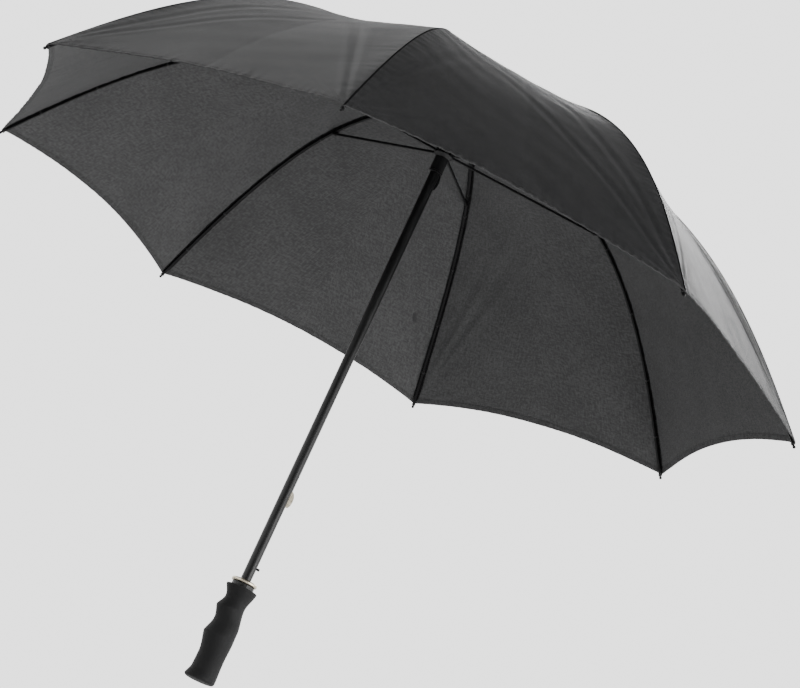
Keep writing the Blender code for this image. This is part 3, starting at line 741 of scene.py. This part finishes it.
def stitching_tree():
    sizes = [(label, "NodeSocketFloat") for label in ("Spacing", "Stitch Length", "Thickness")]
    tree, start, end = new_tree("stitch_row", [*sizes, ("Finish", "NodeSocketMaterial")])
    line = tree_node(tree, "GeometryNodeMeshToCurve", None, {"Mesh": start.outputs["Line"]})
    sockets = {"Curve": line.outputs[0], "Length": start.outputs["Spacing"]}
    dots = tree_node(tree, "GeometryNodeCurveToPoints", {"mode": "LENGTH"}, sockets)
    bead = tree_node(tree, "GeometryNodeMeshUVSphere", None, {"Segments": 5, "Rings": 4, "Radius": 0.5})
    thick = start.outputs["Thickness"]
    sockets = {"X": thick, "Y": thick, "Z": start.outputs["Stitch Length"]}
    size = tree_node(tree, "ShaderNodeCombineXYZ", None, sockets)
    ahead = {"Vector": dots.outputs["Tangent"]}
    turn = tree_node(tree, "FunctionNodeAlignRotationToVector", {"axis": "Z"}, ahead)
    sockets = {"Points": dots.outputs["Points"], "Instance": bead.outputs["Mesh"]}
    sockets |= {"Rotation": turn.outputs[0], "Scale": size.outputs[0]}
    row = tree_node(tree, "GeometryNodeInstanceOnPoints", None, sockets)
    return finished_tree(tree, start, end, row)


def thread_tree():
    inputs = [("Thickness", "NodeSocketFloat"), ("Finish", "NodeSocketMaterial")]
    tree, start, end = new_tree("thread_line", inputs)
    line = tree_node(tree, "GeometryNodeMeshToCurve", None, {"Mesh": start.outputs["Line"]})
    sockets = {0: start.outputs["Thickness"], 1: 0.5}
    half = tree_node(tree, "ShaderNodeMath", {"operation": "MULTIPLY"}, sockets)
    sockets = {"Resolution": 6, "Radius": half.outputs[0]}
    ring = tree_node(tree, "GeometryNodeCurvePrimitiveCircle", None, sockets)
    sockets = {"Curve": line.outputs[0], "Profile Curve": ring.outputs[0], "Fill Caps": True}
    swept = tree_node(tree, "GeometryNodeCurveToMesh", None, sockets)
    return finished_tree(tree, start, end, swept)


STITCH_ROW, THREAD_LINE = stitching_tree(), thread_tree()
print("trees:", STITCH_ROW.name, THREAD_LINE.name)

# %% Turn lines into thread
STITCH = {"Spacing": 0.0040, "Stitch Length": 0.0031, "Thickness": 0.00055, "Finish": THREAD}
ON_THE_INSIDE, ON_THE_OUTSIDE = -0.00078, 0.00030  # heights of a row above the middle of the cloth
HEM_ROW_IN = 0.0070  # the hem's rows, from its edge
SEAM_ROW_BESIDE = 0.0042  # the seam's rows, from the rib


def grow(name, lines, tree, inputs):
    """Runs a tree over lines of points and keeps the result as a plain mesh."""
    points, edges = [], []
    for line in lines:
        first = len(points)
        points += np.asarray(line).tolist()
        edges += [(i, i + 1) for i in range(first, len(points) - 1)]
    mesh = bpy.data.meshes.new(name)
    mesh.from_pydata(points, edges, [])
    thing = new_object(name, mesh)
    grower = thing.modifiers.new("grow", "NODES")
    grower.node_group = tree
    for socket in tree.interface.items_tree:
        if socket.in_out == "INPUT" and socket.name in inputs:
            grower[socket.identifier] = inputs[socket.name]
    bpy.context.view_layer.update()
    seen = thing.evaluated_get(bpy.context.evaluated_depsgraph_get())
    made = bpy.data.meshes.new_from_object(seen)
    thing.modifiers.clear()
    thing.data = made
    made.name = name
    made.shade_smooth()
    return thing


def hem_stitches(rib, side):
    steps = np.linspace(0.002, 0.998, 160)
    s = hem_s(steps) - HEM_ROW_IN
    rows = [cloth_at(rib, side, s, steps, height)[0] for height in (ON_THE_INSIDE, ON_THE_OUTSIDE)]
    return grow(f"hem_stitches_{SIDE_NAMES[side]}_{rib}", rows, STITCH_ROW, STITCH)


def seam_stitches(rib, zone):
    ends = {"inner": (0.0200, INNER_ARC - 0.001), "outer": (INNER_ARC + 0.001, CORNER_S - 0.006)}
    s = np.linspace(*ends[zone], 200)
    share = SEAM_ROW_BESIDE / half_width(s)
    rows = [cloth_at(rib, side, s, share, ON_THE_INSIDE)[0] for side in SIDE_NAMES]
    return grow(f"seam_stitches_{zone}_{rib}", rows, STITCH_ROW, STITCH)


hem_rows = {key: hem_stitches(*key) for key in hems}
seam_rows = {key: seam_stitches(*key) for key in seams}
stitched = (*hem_rows.values(), *seam_rows.values())
print("stitch faces:", sum(len(row.data.polygons) for row in stitched))

# %% [markdown]
# ## Rib ties
#
# The seam is tied to the rib at a few places by hand, with five turns of thread round the rib and through the tape,
# and once more at the tip. A tie is a helix round an oval that holds the rib, swept by the second tree.

# %% Tie the canopy to the ribs
TIE_S = {"inner": (0.105, 0.215, 0.298), "outer": (0.352, 0.470, 0.585, 0.680)}
TIE_TURNS = 5
TIE_THREAD = {"Thickness": 0.00050, "Finish": THREAD}


def tie(rib, where, half_wide=0.0024, low=-0.0026, high=0.0031, long=0.0030):
    round_it = np.linspace(0.0, 2 * math.pi * TIE_TURNS, 22 * TIE_TURNS)
    s = where + long * (round_it / round_it[-1] - 0.5)
    lift = (low + high) / 2 - (high - low) / 2 * np.cos(round_it)
    radius, height = rib_line(s, lift)
    return placed(np.stack([radius, half_wide * np.sin(round_it), height], -1), rib, 1)


def ties(rib, zone):
    lines = [tie(rib, where) for where in TIE_S[zone]]
    if zone == "outer":
        lines += [tie(rib, CORNER_S + 0.0006, 0.0028, -0.0028, 0.0034, 0.0024)]
    return grow(f"rib_ties_{zone}_{rib}", lines, THREAD_LINE, TIE_THREAD)


tied = {key: ties(*key) for key in seams}
print("ties:", sum(len(places) for places in TIE_S.values()) * RIBS)

# %% Hang the cloth on the ribs
for (rib, side, zone), (cloth, area) in panels.items():
    body = body_of(rib, zone)
    wide = float(half_width(INNER_ARC if zone == "inner" else CORNER_S))
    long = INNER_ARC if zone == "inner" else OUTER_ARC - TIP_SHOW
    going = []
    if zone == "outer":
        going = [hems[rib, side], hem_rows[rib, side]]
    if side > 0:
        going += [seams[rib, zone], seam_rows[rib, zone], tied[rib, zone]]
    for piece in (cloth, *going):
        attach(piece, body)
    for piece in (cloth, *going[:2]) if zone == "outer" else (cloth,):
        gather(piece, rib, side, zone)
    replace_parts(cloth, f"canopy_{rib}")
print("cloth hung on", RIBS, "ribs")

# %% [markdown]
# ## The grip
#
# The grip is a foam sleeve, moulded with two finger ridges on one side and a flare at each end. The ridges have a
# firm crest and a soft hollow, so the radius between two stations falls quickly from the crest and levels out in the
# hollow. Round the grip, the finger side fades into the plainer palm side.

# %% Build the grip
GRIP_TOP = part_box("handle_grip")[1].z
FINGER_TURN = 7.5 * PITCH  # the way the finger ridges face
FINGER_SIDE = [(0.0, 0.0226), (0.0045, 0.0240), (0.0200, 0.0192), (0.0400, 0.0188), (0.0705, 0.0249)]
FINGER_SIDE += [(0.0930, 0.0187), (0.1120, 0.0239), (0.1280, 0.0172), (GRIP_TOP, 0.0238)]
PALM_SIDE = [(0.0, 0.0216), (0.0060, 0.0226), (0.0390, 0.0215), (0.0640, 0.0224), (0.0850, 0.0220)]
PALM_SIDE += [(0.1180, 0.0173), (GRIP_TOP, 0.0240)]
GRIP_BORE = 0.0123


def grip_line(stations, z, crispness):
    """Radius at height z; a crest is between round, at crispness 0, and a sharp ridge, at 1."""
    heights, radii = np.array(stations).T
    i = np.clip(np.searchsorted(heights, z, side="right") - 1, 0, len(heights) - 2)
    share = (z - heights[i]) / (heights[i + 1] - heights[i])
    low, high = np.minimum(radii[i], radii[i + 1]), np.maximum(radii[i], radii[i + 1])
    far = np.where(radii[i + 1] > radii[i], 1 - share, share)
    rounded = 1 - far**2 * (3 - 2 * far)
    return low + (high - low) * ((1 - crispness) * rounded + crispness * (1 - np.sin(far * math.pi / 2)))


def grip_radius(z, turn):
    facing = (1 + np.cos(turn - FINGER_TURN)) / 2
    facing = facing**2 * (3 - 2 * facing)
    palm = grip_line(PALM_SIDE, z, 0.25)
    return palm + (grip_line(FINGER_SIDE, z, 0.62) - palm) * facing


def build_grip():
    turn = np.linspace(0.0, 2 * math.pi, 97)[:-1]
    skin = np.linspace(0.0030, GRIP_TOP - 0.0012, 150)
    heights = [0.0, 0.0001, 0.0004, 0.0009, 0.0017, *skin, GRIP_TOP - 0.0004, GRIP_TOP]
    shrink = [0.03, 0.45, 0.78, 0.90, 0.965, *np.ones(len(skin)), 0.985, 0.955]
    rings = []
    for z, share in zip(heights, shrink):
        radius = grip_radius(np.full_like(turn, z), turn) * share
        rings.append(np.stack([radius * np.cos(turn), radius * np.sin(turn), np.full_like(turn, z)], -1))
    for radius, z in ((0.0190, GRIP_TOP), (GRIP_BORE, GRIP_TOP - 0.0006), (GRIP_BORE, 0.0058)):
        rings.append(np.stack([radius * np.cos(turn), radius * np.sin(turn), np.full_like(turn, z)], -1))
    return smooth(tube("foam_grip", rings, (FOAM,)), 42)


grip = build_grip()
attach(grip, "frame")
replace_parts(grip, "handle_grip")
print("grip faces:", len(grip.data.polygons))

# %% [markdown]
# ## Turned pieces
#
# The ring above the grip, the rosette on the crown and the press stud are all round. A turned piece is a section, in
# radius and height, taken round the axis as a closed tube. The rosette's edge is cut with pinking shears, so its
# radius goes in and out as it goes round.

# %% Ring, rosette and stud
def turned(name, section, finishes, sides=96, wave=None):
    """Takes a closed section of (radius, height) round the axis."""
    section = np.array(section)
    turn = np.linspace(0.0, 2 * math.pi, sides + 1)[:-1, None]
    radius = section[:, 0] + (0.0 if wave is None else wave(turn, section[:, 0]))
    rings = np.stack([radius * np.cos(turn), radius * np.sin(turn), section[:, 1] + 0 * turn], -1)
    return tube(name, rings, finishes, closed=True)


def build_ring():
    low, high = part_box("handle_ring")
    outer, middle, tall = high.x, (low.z + high.z) / 2, (high.z - low.z) / 2
    turns = np.linspace(-1.45, 1.45, 13)
    bead = [(outer - tall + tall * math.cos(a), middle + tall * math.sin(a)) for a in turns]
    step = [(0.0152, high.z - 0.0001), (0.0150, high.z - 0.0008), (0.0083, high.z - 0.0012), (0.0083, low.z)]
    ring = smooth(turned("grip_ring", [*bead, *step], (CHAMPAGNE,)), 50)
    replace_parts(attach(ring, "frame"), "handle_ring")
    return ring


def build_rosette():
    edge = 0.0213
    points_round = 40

    def pinked(turn, radius):
        zigzag = np.abs((turn * points_round / math.pi) % 2 - 1)
        return np.where(radius >= edge, 0.0007 * zigzag, 0.0)

    section = [(0.0082, 0.9692), (0.0082, 0.9728), (0.0122, 0.9728), (0.0150, 0.9722), (0.0170, 0.9713)]
    section += [(0.0172, 0.9709), (0.0195, 0.9703), (edge, 0.9699), (edge, 0.9692)]
    rosette = smooth(turned("crown_rosette", section, (CLOTH_OUTSIDE_SHADED,), 240, pinked), 30)
    points = np.array([v.co for v in rosette.data.vertices])
    map_cloth(rosette, points[:, 0], points[:, 1])
    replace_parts(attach(rosette, "frame"), "crown_cap")
    turn = np.linspace(0.0, 2 * math.pi, 120)
    radius, height = 0.0184, 0.9708
    row = np.stack([radius * np.cos(turn), radius * np.sin(turn), 0 * turn + height], -1)
    fine = STITCH | {"Spacing": 0.0029, "Stitch Length": 0.0022}
    thread = grow("rosette_stitches", [row], STITCH_ROW, fine)
    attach(thread, "frame")
    return rosette


ring, rosette = build_ring(), build_rosette()
print("ring and rosette:", len(ring.data.polygons), len(rosette.data.polygons))

# %% [markdown]
# ## The closing band
#
# A short band with a press stud, sewn to one panel beside its seam, wraps the furled umbrella. It lies flat on the
# cloth while the umbrella is open. It is a flat section swept along the same surface as the panel, a little above
# it, so it follows the cloth's wrinkles, and it folds with its panel.

# %% Build the closing band
BAND_RIB, BAND_SIDE = 6, 1
BAND_S = (0.5400, 0.6840)
BAND_SHARE = 0.21
BAND_HALF = 0.0105
STUD_S = 0.6500
BAND_CROSS_ROWS = 0.662, 0.680  # where the band is sewn down
BAND_ROW_HEIGHT = 0.00195


def band_points(s, beside, height):
    share = BAND_SHARE + beside / half_width(s)
    return cloth_at(BAND_RIB, BAND_SIDE, s, share, height + 0 * s)


def build_band():
    s = np.linspace(*BAND_S, 90)
    end = np.clip((s - BAND_S[0]) / BAND_HALF, 0.0, 1.0)
    narrow = np.sqrt(1 - (1 - end) ** 2) * 0.97 + 0.03
    section = [(-1.0, 0.0008), (-1.0, 0.0014), (-0.9, 0.0019), (0.0, 0.0020), (0.9, 0.0019), (1.0, 0.0014)]
    section += [(1.0, 0.0008), (0.9, 0.0006), (-0.9, 0.0006)]
    rings = np.stack([band_points(s, x * BAND_HALF * narrow, z)[0] for x, z in section], 1)
    band = smooth(tube("closing_band", rings, (CLOTH_OUTSIDE_SHADED,)), 50)
    across = np.concatenate([[x * BAND_HALF * n for x, z in section] for n in narrow])
    map_cloth(band, across, np.repeat(s, len(section)))
    inner = s[(s > BAND_S[0] + 0.006) & (s < BAND_S[1] - 0.003)]
    edges = [band_points(inner, x * (BAND_HALF - 0.0022), BAND_ROW_HEIGHT)[0] for x in (-1, 1)]
    ends = np.linspace(-0.0083, 0.0083, 12)
    for where in BAND_CROSS_ROWS:
        edges.append(band_points(0 * ends + where, ends, BAND_ROW_HEIGHT)[0])
    fine = STITCH | {"Spacing": 0.0034, "Stitch Length": 0.0026}
    rows = grow("band_stitches", edges, STITCH_ROW, fine)
    return band, rows


def build_stud():
    profile = [(0.0, 0.0004), (0.0052, 0.0004), (0.0054, 0.0009), (0.0050, 0.0013), (0.0036, 0.0015)]
    profile += [(0.0030, 0.0021), (0.0022, 0.0025), (0.0, 0.0026)]
    turn = np.linspace(0.0, 2 * math.pi, 49)[:-1]
    spot = np.array([STUD_S])
    point, normal = (v[0] for v in band_points(spot, 0.0 * spot, 0.0018))
    sideways = np.cross(normal, (0.0, 0.0, 1.0))
    sideways /= np.linalg.norm(sideways)
    forward = np.cross(normal, sideways)
    rings = []
    for radius, height in profile:
        radius = max(radius, 0.00004)
        flat = np.cos(turn)[:, None] * sideways + np.sin(turn)[:, None] * forward
        rings.append(point + flat * radius + normal * height)
    return smooth(tube("band_stud", rings, (NICKEL,)), 40)


band, band_rows = build_band()
stud = build_stud()
for piece, slot in ((band, "cloth"), (band_rows, "cloth"), (stud, "steel")):
    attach(piece, f"rib_end_{BAND_RIB}")
    gather(piece, BAND_RIB, BAND_SIDE, "outer")
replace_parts(band, "tie_strap")
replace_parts(stud, "strap_snap")

# %% [markdown]
# ## Finishes of the hard parts
#
# The CAD parts keep their shapes and get the finishes made above, by the start of their names.

# %% Paint the hard parts
HARD_FINISHES = {
    "rib_inner": RIB_PAINT, "rib_outer": RIB_PAINT, "stretcher": RIB_PAINT, "top_catch": RIB_PAINT,
    "shaft": SHAFT_PAINT,
    "rib_tip": ENAMEL, "notch_wire": NICKEL, "runner_wire": NICKEL, "bottom_catch": CHAMPAGNE,
    "handle_core": PLASTIC, "stop_pin": PLASTIC, "top_stop": PLASTIC, "notch": PLASTIC, "runner": PLASTIC,
    "ferrule": PLASTIC,
}
for name, node in nodes.items():
    keys = [key for key in HARD_FINISHES if name.startswith(key)]
    if keys and not node.hide_render:
        node.data.materials.clear()
        node.data.materials.append(HARD_FINISHES[max(keys, key=len)])
print("painted:", sum(not node.hide_render for node in nodes.values()))

# %% [markdown]
# ## Floor and light
#
# The camera looks up from under the handle's height, so the pale floor lies below the camera. The light is that of a
# white studio with a darker ceiling and a dimmed wall behind the camera. One weak lamp above gives the upper cloth its
# form, one behind the umbrella grazes the outer cloth and makes it shine, and a strong one low on the right lights the
# inside.

# %% Floor, lamps and sky
FLOOR_Z = -0.62
CENTRE = Vector((0.0, 0.0, 0.80))
DIM_SIDE = Vector((0.513, 0.797, 0.31))  # the wall that the shaft mirrors along its middle


def build_floor():
    mesh = bpy.data.meshes.new("floor")
    reach = 14.0
    corners = [(x * reach, y * reach, FLOOR_Z) for x, y in ((-1, -1), (1, -1), (1, 1), (-1, 1))]
    mesh.from_pydata(corners, [], [(0, 1, 2, 3)])
    floor = new_object("floor", mesh)
    pale = Paint("pale_floor", Roughness=0.9)
    pale.finish((0.86, 0.86, 0.86, 1.0))
    mesh.materials.append(pale.material)


def lamp(name, direction, distance, size, power):
    light = bpy.data.lights.new(name, "AREA")
    light.shape = "DISK"
    light.size = size
    light.energy = power
    thing = new_object(name, light)
    thing.location = CENTRE + Vector(direction).normalized() * distance
    thing.rotation_euler = (-Vector(direction)).to_track_quat("-Z", "Y").to_euler()


def build_sky(strength, ceiling, dim):
    """White walls under a darker ceiling. The wall behind the camera keeps a share, dim, of its light."""
    sky = bpy.data.worlds.new("studio")
    sky.use_nodes = True
    tree = sky.node_tree
    way = tree.nodes.new("ShaderNodeTexCoord")
    split = tree.nodes.new("ShaderNodeSeparateXYZ")
    toward = tree.nodes.new("ShaderNodeVectorMath")
    toward.operation = "DOT_PRODUCT"
    toward.inputs[1].default_value = DIM_SIDE.normalized()
    both = tree.nodes.new("ShaderNodeMath")
    both.operation = "MULTIPLY"
    fades = []
    # Each row: where a fade begins and ends, as a cosine, and its value before and after.
    for low, high, first, last in ((0.42, 0.80, strength, ceiling), (0.72, 0.95, 1.0, dim)):
        fade = tree.nodes.new("ShaderNodeMapRange")
        fade.interpolation_type = "SMOOTHSTEP"
        for socket, value in enumerate((low, high, first, last), 1):
            fade.inputs[socket].default_value = value
        tree.links.new(fade.outputs[0], both.inputs[len(fades)])
        fades.append(fade)
    tree.links.new(way.outputs["Generated"], split.inputs[0])
    tree.links.new(way.outputs["Generated"], toward.inputs[0])
    tree.links.new(split.outputs["Z"], fades[0].inputs[0])
    tree.links.new(toward.outputs["Value"], fades[1].inputs[0])
    tree.links.new(both.outputs[0], tree.nodes["Background"].inputs["Strength"])
    tree.nodes["Background"].inputs["Color"].default_value = (1.0, 1.0, 1.0, 1.0)
    bpy.context.scene.world = sky


build_floor()
lamp("high_left", (0.35, -0.45, 0.9), 3.0, 2.0, 12.0)
lamp("behind", (-0.66, -0.62, 0.43), 3.2, 1.6, 52.0)
lamp("low_right", (-0.39, 0.78, -0.32), 2.6, 2.0, 100.0)
build_sky(2.4, 0.15, 0.15)
print("lamps:", len(bpy.data.lights))
